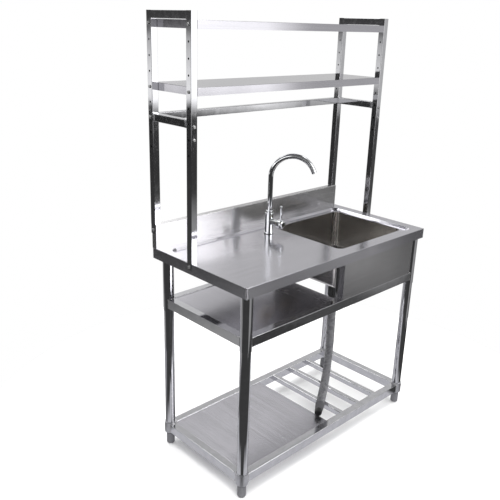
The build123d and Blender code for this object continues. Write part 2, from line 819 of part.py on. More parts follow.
def hose_radii():
    """Largest bend radius that the two runs beside each point of the route allow."""
    radii = []
    for before, here, after in zip(hose_route, hose_route[1:], hose_route[2:]):
        run_in = Vector(*here) - Vector(*before)
        run_out = Vector(*after) - Vector(*here)
        half_turn = math.radians(run_in.get_angle(run_out)) / 2
        radii.append(0.45 * min(run_in.length, run_out.length) / math.tan(half_turn))
    return radii


def hose_path():
    """Centreline of the hose: straight runs joined by tangent arcs."""
    return FilletPolyline(*hose_route, radius=hose_radii())


def make_hose():
    """Plain tube that stands for the corrugated hose."""
    path = hose_path()
    mouth = Plane(origin=path @ 0, z_dir=path % 0)
    return sweep(mouth * (Circle(hose_diameter / 2) - Circle(hose_bore / 2)), path=path)


def hose_end():
    """Plane at the hose's free end, facing the way that the hose points."""
    path = hose_path()
    return Plane(origin=path @ 1, z_dir=path % 1)


def make_cuff():
    """Tapered end piece of the hose."""
    cone = Pos(0, 0, cuff_length / 2) * Cone(cuff_large_diameter / 2, cuff_small_diameter / 2, cuff_length)
    bore = Pos(0, 0, cuff_length / 2) * Cylinder(hose_bore / 2 - 4, 2 * cuff_length)
    return hose_end() * (cone - bore)


def make_hose_cap():
    """Closed cap on the cuff's mouth."""
    cap = Cylinder(hose_cap_diameter / 2, hose_cap_length)
    cap = fillet(cap.edges().group_by(Axis.Z)[-1], 3.0)
    return hose_end() * Pos(0, 0, cuff_length + hose_cap_length / 2) * cap


# ---------------------------------------------------------------- assembly
def all_parts():
    """Every node's name with its solid, or with its list of solids."""
    parts = {
        "countertop": make_countertop(),
        "backsplash": make_backsplash(),
        "sink_basin": make_basin(),
        "sink_apron": make_apron(),
        "counter_crossbar_left": make_crossbar(-1),
        "counter_crossbar_right": make_crossbar(1),
        "leg_sockets": [make_socket(x, y) for x, y in leg_places.values()],
        "mid_shelf_panel": make_panel(mid_panel_right_x, mid_rail_top),
        "base_shelf_panel": make_panel(base_panel_right_x, base_rail_top),
        "rack_shelf_top": make_rack_shelf(rack_hole_z[0]),
        "rack_shelf_middle": make_rack_shelf(rack_hole_z[middle_shelf_hole]),
        "rack_back_bar": make_back_bar(),
        "rack_bolts": make_rack_bolts(),
        "faucet_gasket": make_faucet_gasket(),
        "faucet_body": make_faucet_body(),
        "faucet_mounting_nut": make_mounting_nut(),
        "faucet_spout_nut": make_spout_nut(),
        "faucet_spout": make_spout(),
        "faucet_aerator": make_aerator(),
        "faucet_valve_dome": make_valve_dome(),
        "faucet_handle_cap": make_handle_cap(),
        "faucet_lever": make_lever(),
        "drain_flange": make_drain_flange(),
        "drain_gasket": make_drain_gasket(),
        "drain_body": make_drain_body(),
        "drain_coupling": make_coupling(),
        "drain_hose": make_hose(),
        "hose_cuff": make_cuff(),
        "hose_cap": make_hose_cap(),
    }
    for corner, (x, y) in leg_places.items():
        parts["leg_sleeve_" + corner] = make_sleeve(x, y)
        parts["leg_tube_" + corner] = make_leg_tube(x, y)
        parts["foot_" + corner] = make_foot(x, y)
    for name in ("front", "back", "left", "right"):
        parts["mid_rail_" + name] = make_rail(name, mid_rail_top, sleeve_diameter)
        parts["base_rail_" + name] = make_rail(name, base_rail_top, socket_diameter)
    for number in range(slat_count):
        parts[f"base_slat_{number + 1}"] = make_slat(slat_first_x + number * slat_pitch)
    for label, side in (("left", -1), ("right", 1)):
        parts["rack_upright_front_" + label] = make_upright(side, True)
        parts["rack_upright_back_" + label] = make_upright(side, False)
        parts["rack_top_bar_" + label] = make_rack_bar(side, rack_top_z - rack_tube / 2)
        parts["rack_side_bar_" + label] = make_rack_bar(side, rack_hole_z[brace_hole])
    return parts


os.makedirs("parts", exist_ok=True)
for node, shape in all_parts().items():
    if isinstance(shape, list):
        shape = Compound(children=shape)
    export_step(shape, f"parts/{node}.step")

section_area = math.pi * (hose_diameter ** 2 - hose_bore ** 2) / 4
print("hose radii", [round(radius) for radius in hose_radii()])
print("hose length", round(hose_path().length), "volume check", round(section_area * hose_path().length))
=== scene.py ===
"""Looks of the free-standing hand wash sink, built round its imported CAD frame. Metres."""
import math

import bpy
import bmesh
from mathutils import Matrix, Vector, noise


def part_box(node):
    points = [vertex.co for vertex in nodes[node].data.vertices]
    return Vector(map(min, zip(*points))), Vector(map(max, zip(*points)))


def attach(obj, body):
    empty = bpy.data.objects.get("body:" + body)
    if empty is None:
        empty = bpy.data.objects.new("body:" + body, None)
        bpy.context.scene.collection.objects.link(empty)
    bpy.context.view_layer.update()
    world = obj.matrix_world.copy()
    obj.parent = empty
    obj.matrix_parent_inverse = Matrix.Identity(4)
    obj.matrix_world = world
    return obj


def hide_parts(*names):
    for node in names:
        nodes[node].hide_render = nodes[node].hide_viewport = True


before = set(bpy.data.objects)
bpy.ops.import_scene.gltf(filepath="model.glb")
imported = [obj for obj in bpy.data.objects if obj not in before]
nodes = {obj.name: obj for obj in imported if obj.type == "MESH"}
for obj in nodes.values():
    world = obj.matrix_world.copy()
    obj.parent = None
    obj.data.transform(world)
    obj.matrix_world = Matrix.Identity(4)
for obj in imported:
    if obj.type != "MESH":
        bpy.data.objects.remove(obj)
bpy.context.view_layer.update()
scene = bpy.context.scene


# ------------------------------------------------------------------ camera
CAMERA_AT = Vector((-1.7731, -1.5822, 1.5975))
CAMERA_AZIMUTH = math.radians(-43.947)
CAMERA_ELEVATION = math.radians(-19.433)
CAMERA_ROLL = math.radians(1.712)
SENSOR = 36.0
LENS = 46.34


def make_camera():
    """The camera, to the front left of the object and a little above it, with a slight roll."""
    az, el = CAMERA_AZIMUTH, CAMERA_ELEVATION
    look = Vector((-math.sin(az) * math.cos(el), math.cos(az) * math.cos(el), math.sin(el)))
    right = look.cross(Vector((0, 0, 1))).normalized()
    up = right.cross(look)
    rolled_right = math.cos(CAMERA_ROLL) * right + math.sin(CAMERA_ROLL) * up
    rolled_up = -math.sin(CAMERA_ROLL) * right + math.cos(CAMERA_ROLL) * up
    data = bpy.data.cameras.new("camera")
    data.lens, data.sensor_width, data.sensor_fit = LENS, SENSOR, "HORIZONTAL"
    camera = bpy.data.objects.new("camera", data)
    turn = Matrix((rolled_right, rolled_up, -look)).transposed().to_4x4()
    camera.matrix_world = Matrix.Translation(CAMERA_AT) @ turn
    scene.collection.objects.link(camera)
    scene.camera = camera


# ------------------------------------------------------------------ mesh helpers
def add_mesh(name, verts, faces, sharp=30.0):
    """A mesh object from points and faces, smooth up to a sharp angle in degrees."""
    mesh = bpy.data.meshes.new(name)
    mesh.from_pydata([tuple(v) for v in verts], [], faces)
    mesh.validate()
    work = bmesh.new()
    work.from_mesh(mesh)
    bmesh.ops.recalc_face_normals(work, faces=work.faces)
    work.to_mesh(mesh)
    work.free()
    mesh.shade_smooth()
    mesh.set_sharp_from_angle(angle=math.radians(sharp))
    obj = bpy.data.objects.new(name, mesh)
    scene.collection.objects.link(obj)
    return obj


def frames_along(path):
    """Point, tangent and two side directions at each point of a path, without twist."""
    tangents = []
    for i in range(len(path)):
        a, b = path[max(i - 1, 0)], path[min(i + 1, len(path) - 1)]
        tangents.append((b - a).normalized())
    side = tangents[0].orthogonal().normalized()
    out = []
    for point, tangent in zip(path, tangents):
        side = (side - tangent * side.dot(tangent)).normalized()
        out.append((point, tangent, side, tangent.cross(side)))
    return out


def ring_skin(rings, closed_ends=True):
    """Vertices and faces that skin a list of rings of equal size."""
    count = len(rings[0])
    verts = [v for ring in rings for v in ring]
    faces = []
    for r in range(len(rings) - 1):
        for i in range(count):
            j = (i + 1) % count
            faces.append((r * count + i, r * count + j, (r + 1) * count + j, (r + 1) * count + i))
    if closed_ends:
        faces.append(tuple(range(count))[::-1])
        faces.append(tuple((len(rings) - 1) * count + i for i in range(count)))
    return verts, faces


def lathe(name, origin, axis, profile, segments, sharp, lobes=0, lobe_depth=0.0):
    """Turned piece with closed ends; profile lists (distance along axis, radius) in order."""
    axis = Vector(axis).normalized()
    side = axis.orthogonal().normalized()
    other = axis.cross(side)
    rings = []
    for distance, radius in profile:
        ring = []
        for i in range(segments):
            a = 2 * math.pi * i / segments
            r = radius - lobe_depth * (0.5 + 0.5 * math.cos(lobes * a)) if lobes else radius
            ring.append(Vector(origin) + axis * distance + (side * math.cos(a) + other * math.sin(a)) * r)
        rings.append(ring)
    verts, faces = ring_skin(rings)
    return add_mesh(name, verts, faces, sharp)


# ------------------------------------------------------------------ hose
HOSE_ROUTE = [
    (0.2350, -0.0155, 0.5150),
    (0.2350, -0.0155, 0.4480),
    (0.2445, -0.0095, 0.3620),
    (0.2460, -0.0095, 0.2740),
    (0.2320, -0.0185, 0.2160),
    (0.2040, -0.0365, 0.1685),
    (0.1640, -0.0620, 0.1365),
    (0.1110, -0.0960, 0.1190),
    (0.0540, -0.1335, 0.1145),
]
HOSE_DIAMETER = 0.036
HOSE_RIB_PITCH = 0.0072
HOSE_RIB_DEPTH = 0.0027
HOSE_SEGMENTS = 40
HOSE_RINGS_PER_RIB = 6
HOSE_PLAIN_START = 0.010       # stretch without ribs next to the coupling
HOSE_PLAIN_END = 0.008         # stretch without ribs next to the cuff
HOSE_PLAIN_SWELL = 0.55        # height of the plain stretches, as a share of a rib
HOSE_RIB_SHARPNESS = 0.7       # below 1 gives broad ribs with narrow valleys
CUFF_GRIPS = 6
CUFF_GRIP_START = 0.0085
CUFF_GRIP_PITCH = 0.0052
CUFF_GRIP_RADIUS = 0.0180
CUFF_GRIP_TAPER = 0.00052      # loss of radius from one grip ring to the next
CUFF_LENGTH = 0.044
CAP_LOBES = 16
CAP_LOBE_DEPTH = 0.0005


def hose_line():
    """The points of the hose's smooth centreline, read from its NURBS spline."""
    curve = bpy.data.curves.new("hose_line", "CURVE")
    curve.dimensions = "3D"
    curve.resolution_u = 24
    spline = curve.splines.new("NURBS")
    spline.points.add(len(HOSE_ROUTE) - 1)
    for point, place in zip(spline.points, HOSE_ROUTE):
        point.co = (*place, 1.0)
    spline.order_u = 3
    spline.use_endpoint_u = True
    line = bpy.data.objects.new("hose_line", curve)
    scene.collection.objects.link(line)
    bpy.context.view_layer.update()
    mesh = bpy.data.meshes.new_from_object(line)
    points = [v.co.copy() for v in mesh.vertices]
    bpy.data.objects.remove(line)
    bpy.data.meshes.remove(mesh)
    return points


def along(points, step):
    """The line's points set out again at one even step."""
    lengths = [0.0]
    for a, b in zip(points, points[1:]):
        lengths.append(lengths[-1] + (b - a).length)
    total = lengths[-1]
    count = max(2, round(total / step))
    out, k = [], 0
    for i in range(count + 1):
        s = total * i / count
        while k < len(points) - 2 and lengths[k + 1] < s:
            k += 1
        span = lengths[k + 1] - lengths[k]
        out.append(points[k].lerp(points[k + 1], (s - lengths[k]) / span))
    return out


def make_hose():
    """Corrugated drain hose with its cuff and end cap."""
    line = hose_line()
    path = along(line, HOSE_RIB_PITCH / HOSE_RINGS_PER_RIB)
    step = (path[1] - path[0]).length
    total = step * (len(path) - 1)
    rings = []
    for i, (point, tangent, side, other) in enumerate(frames_along(path)):
        s = i * step
        swell = 0.5 - 0.5 * math.cos(2 * math.pi * s / HOSE_RIB_PITCH)
        swell = swell ** HOSE_RIB_SHARPNESS
        if s < HOSE_PLAIN_START or s > total - HOSE_PLAIN_END:
            swell = HOSE_PLAIN_SWELL
        r = HOSE_DIAMETER / 2 - HOSE_RIB_DEPTH * (1 - swell)
        ring = []
        for k in range(HOSE_SEGMENTS):
            a = 2 * math.pi * k / HOSE_SEGMENTS
            ring.append(point + (side * math.cos(a) + other * math.sin(a)) * r)
        rings.append(ring)
    verts, faces = ring_skin(rings)
    hose = add_mesh("corrugated_hose", verts, faces, sharp=70)

    end = Vector(HOSE_ROUTE[-1])
    out = (end - Vector(HOSE_ROUTE[-2])).normalized()
    cuff_profile = [(0.0, 0.0150), (0.0, 0.0186), (0.0014, 0.0190), (0.0062, 0.0190), (0.0070, 0.0182)]
    for g in range(CUFF_GRIPS):
        s = CUFF_GRIP_START + g * CUFF_GRIP_PITCH
        r = CUFF_GRIP_RADIUS - g * CUFF_GRIP_TAPER
        cuff_profile += [(s, r), (s + 0.0008, r + 0.0006), (s + 0.0026, r + 0.0005),
                         (s + 0.0034, r - 0.0003)]
    cuff_profile += [(0.0405, 0.0146), (0.0412, 0.0150), (0.0434, 0.0149), (CUFF_LENGTH, 0.0140)]
    cuff = lathe("hose_end_cuff", end, out, cuff_profile, 56, 40)
    cap_at = end + out * CUFF_LENGTH
    cap_profile = [(0.0, 0.0120), (0.0, 0.0150), (0.0010, 0.0155), (0.0050, 0.0155), (0.0056, 0.0149),
                   (0.0180, 0.0147), (0.0205, 0.0140), (0.0218, 0.0122), (0.0220, 0.0095), (0.0205, 0.0088),
                   (0.0202, 0.0040)]
    cap = lathe("hose_end_cap", cap_at, out, cap_profile, 64, 35,
                lobes=CAP_LOBES, lobe_depth=CAP_LOBE_DEPTH)
    for piece, node, slot_name in ((hose, "drain_hose", "hose_grey"), (cuff, "hose_cuff", "cuff_grey"),
                                   (cap, "hose_cap", "cap_black")):
        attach(piece, "sink_frame")
        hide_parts(node)
    return hose, cuff, cap


# ------------------------------------------------------------------ materials
GRAIN_LEAN = (0.021, 0.017, 0.013)     # keeps the grain off every face's own direction
PEBBLE_SCALE = (900.0, 900.0, 900.0)
PEBBLE_DEPTH = 0.00012


def new_material(name):
    """A new material with its node tree and its Principled shader."""
    material = bpy.data.materials.new(name)
    material.use_nodes = True
    tree = material.node_tree
    shader = tree.nodes["Principled BSDF"]
    return material, tree, shader


def add_node(tree, kind, inputs=None, **settings):
    """A node with its settings, and its inputs set to constants or linked from sockets."""
    made = tree.nodes.new("ShaderNode" + kind)
    for key, value in settings.items():
        setattr(made, key, value)
    for key, value in (inputs or {}).items():
        if isinstance(value, bpy.types.NodeSocket):
            tree.links.new(value, made.inputs[key])
        else:
            made.inputs[key].default_value = value
    return made


def mapped_noise(tree, scale, detail=2.0, roughness=0.5, offset=(0, 0, 0)):
    """Noise on the object's own coordinates, stretched by scale."""
    place = add_node(tree, "TexCoord").outputs["Object"]
    mapping = add_node(tree, "Mapping", {"Vector": place, "Scale": scale, "Location": offset})
    grain = add_node(tree, "TexNoise", {"Vector": mapping.outputs[0], "Scale": 1.0, "Detail": detail,
                                        "Roughness": roughness})
    return grain.outputs["Fac"]


def ramp(tree, value, low, high, to_low, to_high):
    """value from low..high to to_low..to_high."""
    made = add_node(tree, "MapRange", {"Value": value, "From Min": low, "From Max": high, "To Min": to_low,
                                       "To Max": to_high})
    return made.outputs["Result"]


def tint(tree, value, dark, light):
    """Mix of two colours by a value."""
    made = add_node(tree, "Mix", {"Factor": value}, data_type="RGBA")
    made.inputs[6].default_value = (*dark, 1)
    made.inputs[7].default_value = (*light, 1)
    return made.outputs[2]


def add_values(tree, a, b, operation="ADD"):
    """a and b joined by one math operation."""
    return add_node(tree, "Math", {0: a, 1: b}, operation=operation).outputs[0]


def across_grain(tree, axis):
    """Direction on the surface across the brushing, along which highlights stretch."""
    normal = add_node(tree, "NewGeometry").outputs["Normal"]
    tilted = tuple(a + lean for a, lean in zip(axis, GRAIN_LEAN))
    cross = add_node(tree, "VectorMath", {0: normal, 1: tilted}, operation="CROSS_PRODUCT").outputs[0]
    return add_node(tree, "VectorMath", {0: cross}, operation="NORMALIZE").outputs[0]


def grain_scale(axis, along_grain, across_grain):
    """Noise scale that is long along axis and fine across it."""
    return tuple(along_grain if abs(a) > 0.5 else across_grain for a in axis)


def corner_seams_and_highlights(tree, node, centre, core, edge):
    """1 along ground seams by a node's upright corners, centre in from its sides, and 0 away from them; the
    same lines carry a painted highlight.
    """
    low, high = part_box(node)
    place = add_node(tree, "SeparateXYZ", {0: add_node(tree, "TexCoord").outputs["Object"]}).outputs
    far = []
    for side, k in (("X", 0), ("Y", 1)):
        middle, half = (low[k] + high[k]) / 2, (high[k] - low[k]) / 2
        offset = add_values(tree, place[side], middle, "SUBTRACT")
        size = add_node(tree, "Math", {0: offset}, operation="ABSOLUTE").outputs[0]
        far.append(add_values(tree, half, size, "SUBTRACT"))
    reach = add_values(tree, *far, "MAXIMUM")
    ragged = mapped_noise(tree, (160, 160, 160), detail=2)
    reach = add_values(tree, reach, ramp(tree, ragged, 0.3, 0.7, -edge / 4, edge / 4))
    off_centre = add_values(tree, reach, centre, "SUBTRACT")
    distance = add_node(tree, "Math", {0: off_centre}, operation="ABSOLUTE").outputs[0]
    return ramp(tree, distance, core, edge, 1, 0)


def satin_steel(name, axis, dark=(0.52, 0.512, 0.545), light=(0.60, 0.592, 0.63), rough=0.18,
                seams_and_highlights=None, relief=1.0):
    """Brushed sheet steel: long grain, handling marks, and ground seams at the corners of one node, painted
    lighter as a highlight.
    """
    material, tree, shader = new_material(name)
    fine = mapped_noise(tree, grain_scale(axis, 5, 900), detail=3, roughness=0.6)
    bands = mapped_noise(tree, grain_scale(axis, 1.2, 90), detail=4, roughness=0.65, offset=(3, 7, 1))
    clouds = mapped_noise(tree, (6, 6, 6), detail=4, roughness=0.55, offset=(1, 2, 5))
    tone = add_values(tree, ramp(tree, fine, 0.3, 0.7, 0, 0.4), ramp(tree, bands, 0.3, 0.7, 0, 0.6))
    gloss = add_values(tree, ramp(tree, bands, 0.3, 0.7, -0.015, 0.02),
                       ramp(tree, clouds, 0.3, 0.7, -0.02, 0.03))
    gloss = add_values(tree, gloss, rough)
    if seams_and_highlights:
        seam_and_highlight = corner_seams_and_highlights(tree, *seams_and_highlights)
        # painted highlight: the seam lines turn the colour lighter, and rougher as a ground finish
        tone = add_values(tree, tone, ramp(tree, seam_and_highlight, 0, 1, 0, 1.2))
        gloss = add_values(tree, gloss, ramp(tree, seam_and_highlight, 0, 1, 0, 0.34))
    tree.links.new(tint(tree, tone, dark, light), shader.inputs["Base Color"])
    tree.links.new(gloss, shader.inputs["Roughness"])
    height = add_values(tree, ramp(tree, fine, 0, 1, 0, 1), ramp(tree, bands, 0, 1, 0, 0.8))
    bump = add_node(tree, "Bump", {"Height": height, "Distance": 0.00003, "Strength": 0.2 * relief})
    wavy = mapped_noise(tree, (4, 4, 4), detail=1.0, offset=(4, 9, 2))
    dents = add_node(tree, "Bump", {"Height": wavy, "Distance": 0.0015, "Strength": 0.5 * relief,
                                    "Normal": bump.outputs[0]})
    tree.links.new(dents.outputs[0], shader.inputs["Normal"])
    shader.inputs["Metallic"].default_value = 1.0
    shader.inputs["Anisotropic"].default_value = 0.6
    tree.links.new(across_grain(tree, axis), shader.inputs["Tangent"])
    return material


def polished_steel(name, axis, rough=0.045):
    """Polished tube: near-mirror, faint draw lines along it, finger marks."""
    material, tree, shader = new_material(name)
    lines = mapped_noise(tree, grain_scale(axis, 3, 700), detail=3, roughness=0.6)
    marks = mapped_noise(tree, (38, 38, 38), detail=4, roughness=0.6, offset=(2, 3, 4))
    wavy = mapped_noise(tree, (11, 11, 11), detail=1.5, offset=(7, 1, 6))
    tree.links.new(tint(tree, ramp(tree, marks, 0.3, 0.7, 0, 1), (0.62, 0.62, 0.64), (0.70, 0.70, 0.72)),
                   shader.inputs["Base Color"])
    gloss = add_values(tree, ramp(tree, marks, 0.50, 0.75, 0, 0.06), ramp(tree, lines, 0.3, 0.7, 0, 0.02))
    gloss = add_values(tree, gloss, rough)
    tree.links.new(gloss, shader.inputs["Roughness"])
    bump = add_node(tree, "Bump", {"Height": lines, "Distance": 0.00002, "Strength": 0.12})
    soft = add_node(tree, "Bump", {"Height": wavy, "Distance": 0.0005, "Strength": 0.3,
                                   "Normal": bump.outputs[0]})
    tree.links.new(soft.outputs[0], shader.inputs["Normal"])
    shader.inputs["Metallic"].default_value = 1.0
    return material


def chrome(name):
    """Plated brass: mirror with dried water spots and faint wipe marks."""
    material, tree, shader = new_material(name)
    place = add_node(tree, "TexCoord").outputs["Object"]
    spots = add_node(tree, "TexVoronoi", {"Vector": place, "Scale": 210.0})
    spot = ramp(tree, spots.outputs["Distance"], 0.08, 0.16, 0.06, 0.0)
    wipes = mapped_noise(tree, (90, 90, 22), detail=4, roughness=0.65)
    tree.links.new(tint(tree, ramp(tree, wipes, 0.3, 0.7, 0, 1), (0.70, 0.71, 0.73), (0.80, 0.81, 0.82)),
                   shader.inputs["Base Color"])
    gloss = add_values(tree, ramp(tree, wipes, 0.45, 0.75, 0.015, 0.05), spot)
    tree.links.new(gloss, shader.inputs["Roughness"])
    wavy = mapped_noise(tree, (60, 60, 60), detail=1.0, offset=(2, 2, 2))
    bump = add_node(tree, "Bump", {"Height": wavy, "Distance": 0.00004, "Strength": 0.3})
    tree.links.new(bump.outputs[0], shader.inputs["Normal"])
    shader.inputs["Metallic"].default_value = 1.0
    return material


def moulded(name, dark, light, rough):
    """Moulded plastic or rubber: fine pebble, dusty variation, duller patches."""
    material, tree, shader = new_material(name)
    pebble = mapped_noise(tree, PEBBLE_SCALE, detail=3, roughness=0.6)
    dust = mapped_noise(tree, (34, 34, 34), detail=5, roughness=0.65, offset=(5, 5, 1))
    tree.links.new(tint(tree, ramp(tree, dust, 0.3, 0.7, 0, 1), dark, light), shader.inputs["Base Color"])
    gloss = add_values(tree, ramp(tree, dust, 0.3, 0.7, -0.06, 0.10), rough)
    tree.links.new(gloss, shader.inputs["Roughness"])
    bump = add_node(tree, "Bump", {"Height": pebble, "Distance": PEBBLE_DEPTH, "Strength": 0.4})
    tree.links.new(bump.outputs[0], shader.inputs["Normal"])
    return material


def raw_metal(name, dark, light, rough):
    """Machined or cast metal: turning marks and tarnish."""
    material, tree, shader = new_material(name)
    turned = mapped_noise(tree, (60, 60, 2400), detail=2)
    tarnish = mapped_noise(tree, (55, 55, 55), detail=5, roughness=0.7, offset=(9, 1, 1))
    tree.links.new(tint(tree, ramp(tree, tarnish, 0.3, 0.7, 0, 1), dark, light), shader.inputs["Base Color"])
    gloss = add_values(tree, ramp(tree, tarnish, 0.3, 0.7, 0.10, -0.05), rough)
    tree.links.new(gloss, shader.inputs["Roughness"])
    bump = add_node(tree, "Bump", {"Height": turned, "Distance": 0.00006, "Strength": 0.4})
    tree.links.new(bump.outputs[0], shader.inputs["Normal"])
    shader.inputs["Metallic"].default_value = 1.0
    return material


ALONG_X, ALONG_Y, ALONG_Z = (1, 0, 0), (0, 1, 0), (0, 0, 1)


def assign(names, material):
    """The material on every slot of those CAD nodes."""
    for name in names:
        mesh = nodes[name].data
        mesh.materials.clear()
        mesh.materials.append(material)


def corners(stem):
    """The four node names of a piece that stands at each corner."""
    return [f"{stem}_{y}_{x}" for y in ("front", "back") for x in ("left", "right")]


def give_materials(hose, cuff, cap):
    """Every CAD node and piece gets its finish."""
    assign(["countertop"],
           # the seam arguments place ground seams with a painted highlight at the upright corners
           satin_steel("satin_counter", ALONG_X, rough=0.17,
                       seams_and_highlights=("countertop", 0.0, 0.0035, 0.0065), relief=0.6))
    assign(["backsplash"],
           satin_steel("satin_splash", ALONG_X, (0.53, 0.525, 0.53), (0.61, 0.605, 0.61), 0.22, relief=0.5))
    assign(["sink_basin"],
           satin_steel("satin_basin", ALONG_Z, (0.54, 0.525, 0.51), (0.64, 0.625, 0.61), 0.18,
                       seams_and_highlights=("sink_basin", 0.0236, 0.0012, 0.0032), relief=0.6))
    assign(["sink_apron"],
           satin_steel("satin_apron", ALONG_X, (0.50, 0.495, 0.505), (0.60, 0.594, 0.605)))
    assign(["mid_shelf_panel", "base_shelf_panel"],
           satin_steel("satin_panel", ALONG_Y, rough=0.24, relief=0.25))
    assign(["rack_shelf_top", "rack_shelf_middle"],
           satin_steel("satin_rack_shelf", ALONG_X, rough=0.10))
    along_x = polished_steel("polished_x", ALONG_X)
    along_y = polished_steel("polished_y", ALONG_Y)
    along_z = polished_steel("polished_z", ALONG_Z)
    assign([f"{ring}_rail_{side}" for ring in ("mid", "base") for side in ("front", "back")], along_x)
    assign(["rack_back_bar"], along_x)
    assign([f"{ring}_rail_{side}" for ring in ("mid", "base") for side in ("left", "right")], along_y)
    assign(["base_slat_1", "base_slat_2", "base_slat_3"], along_y)
    assign(["rack_top_bar_left", "rack_top_bar_right", "rack_side_bar_left", "rack_side_bar_right"], along_y)
    assign(["counter_crossbar_left", "counter_crossbar_right"], along_y)
    assign(corners("leg_sleeve") + corners("leg_tube") + corners("rack_upright"), along_z)
    assign(["leg_sockets"], raw_metal("socket_cast", (0.50, 0.50, 0.52), (0.62, 0.62, 0.64), 0.40))
    assign(corners("foot"), moulded("foot_moulded", (0.10, 0.10, 0.11), (0.16, 0.16, 0.17), 0.42))
    assign(["rack_bolts"], raw_metal("bolt_plated", (0.55, 0.55, 0.55), (0.70, 0.70, 0.70), 0.22))
    plated = chrome("chrome_plate")
    assign(["faucet_body", "faucet_spout_nut", "faucet_spout", "faucet_handle_cap", "faucet_lever"], plated)
    rubber = moulded("rubber_gasket", (0.012, 0.012, 0.013), (0.030, 0.030, 0.031), 0.55)
    assign(["faucet_gasket", "drain_gasket"], rubber)
    assign(["faucet_mounting_nut", "faucet_valve_dome"],
           raw_metal("brass_turned", (0.55, 0.40, 0.18), (0.68, 0.52, 0.26), 0.30))
    assign(["faucet_aerator"], moulded("aerator_moulded", (0.30, 0.30, 0.30), (0.40, 0.40, 0.40), 0.40))
    assign(["drain_flange"], raw_metal("drain_pressed", (0.50, 0.50, 0.51), (0.62, 0.62, 0.63), 0.20))
    assign(["drain_body", "drain_coupling"],
           moulded("drain_moulded", (0.020, 0.020, 0.021), (0.045, 0.045, 0.046), 0.40))
    hose.data.materials.append(moulded("hose_moulded", (0.12, 0.12, 0.13), (0.20, 0.20, 0.21), 0.26))
    cuff.data.materials.append(moulded("cuff_moulded", (0.05, 0.05, 0.055), (0.09, 0.09, 0.095), 0.42))
    cap.data.materials.append(moulded("cap_moulded", (0.004, 0.004, 0.004), (0.010, 0.010, 0.010), 0.32))


# ------------------------------------------------------------------ welds and collars
BEAD_RADIUS = 0.0012
BEAD_SIDES = 8
BEAD_LEAN = 0.4                # how far a bead leans out along its rail
CORNER_STEPS = 5
OUTLINE_STEP = 0.0015
RAIL_CORNER_RADIUS = 0.002
SOCKET_RADIUS = 0.023


def rounded_outline(half_width, half_height, radius):
    """Closed outline of a rounded rectangle, as (across, up) pairs at a fine even step."""
    points = []
    for cx, cy, start in ((1, 1, 0), (-1, 1, 90), (-1, -1, 180), (1, -1, 270)):
        for i in range(CORNER_STEPS + 1):
            a = math.radians(start + 90 * i / CORNER_STEPS)
            points.append((cx * (half_width - radius) + radius * math.cos(a),
                           cy * (half_height - radius) + radius * math.sin(a)))
    fine = []
    for (ax, ay), (bx, by) in zip(points, points[1:] + points[:1]):
        steps = max(1, round(math.hypot(bx - ax, by - ay) / OUTLINE_STEP))
        fine += [(ax + (bx - ax) * i / steps, ay + (by - ay) * i / steps) for i in range(steps)]
    return fine


def bead_loop(points, outward, verts, faces):
    """Adds a closed rippled bead along points; outward gives the side that each faces."""
    base, count = len(verts), len(points)
    for i, point in enumerate(points):
        tangent = (points[(i + 1) % count] - points[i - 1]).normalized()
        out = (outward[i] - tangent * outward[i].dot(tangent)).normalized()
        side = tangent.cross(out)
        swell = BEAD_RADIUS * (1 + 0.18 * math.sin(i * 2.1) + 0.22 * noise.noise(point * 350))
        for k in range(BEAD_SIDES):
            a = 2 * math.pi * k / BEAD_SIDES
            verts.append(point + (out * math.cos(a) + side * math.sin(a)) * swell)
    for i in range(count):
        j = (i + 1) % count
        for k in range(BEAD_SIDES):
            m = (k + 1) % BEAD_SIDES
            faces.append((base + i * BEAD_SIDES + k, base + j * BEAD_SIDES + k,
                          base + j * BEAD_SIDES + m, base + i * BEAD_SIDES + m))


def socket_box(y_name, x_name):
    """Box of the corner socket round one leg tube, which shares its node with the other three."""
    low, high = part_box(f"leg_tube_{y_name}_{x_name}")
    middle = (low + high) / 2
    grow = Vector((SOCKET_RADIUS, SOCKET_RADIUS, 0))
    return middle - grow, middle + grow


def make_weld_beads(ring, post_of_corner):
    """Weld beads round the ends of one ring's rails, where they meet the round posts."""
    verts, faces = [], []
    for y_name in ("front", "back"):
        for x_name in ("left", "right"):
            low, high = post_of_corner(y_name, x_name)
            axis = (low + high) / 2
            radius = (high.x - low.x) / 2
            for rail, toward in ((f"{ring}_rail_{y_name}", Vector((1 if x_name == "left" else -1, 0, 0))),
                                 (f"{ring}_rail_{x_name}", Vector((0, 1 if y_name == "front" else -1, 0)))):
                rail_low, rail_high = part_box(rail)
                across = Vector((-toward.y, toward.x, 0))
                half = (rail_high.z - rail_low.z) / 2
                width = (rail_high - rail_low).dot(Vector((abs(across.x), abs(across.y), 0))) / 2
                middle = (rail_low.z + rail_high.z) / 2
                points, outward = [], []
                for u, w in rounded_outline(width, half, RAIL_CORNER_RADIUS):
                    depth = math.sqrt(radius * radius - u * u)
                    points.append(Vector((axis.x, axis.y, middle + w)) + toward * depth + across * u)
                    outward.append(across * u / width + Vector((0, 0, w / half)) + toward * BEAD_LEAN)
                bead_loop(points, outward, verts, faces)
    beads = add_mesh(f"weld_beads_{ring}", verts, faces, sharp=80)
    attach(beads, "sink_frame")
    return beads


COLLAR_LENGTH = 0.009
COLLAR_WALL = 0.0008
COLLAR_GAP = 0.0002            # from the end of the bar to the collar
COLLAR_FIT = 0.0001            # between the bar and the inside of the collar
COLLAR_CORNER_RADIUS = 0.0025


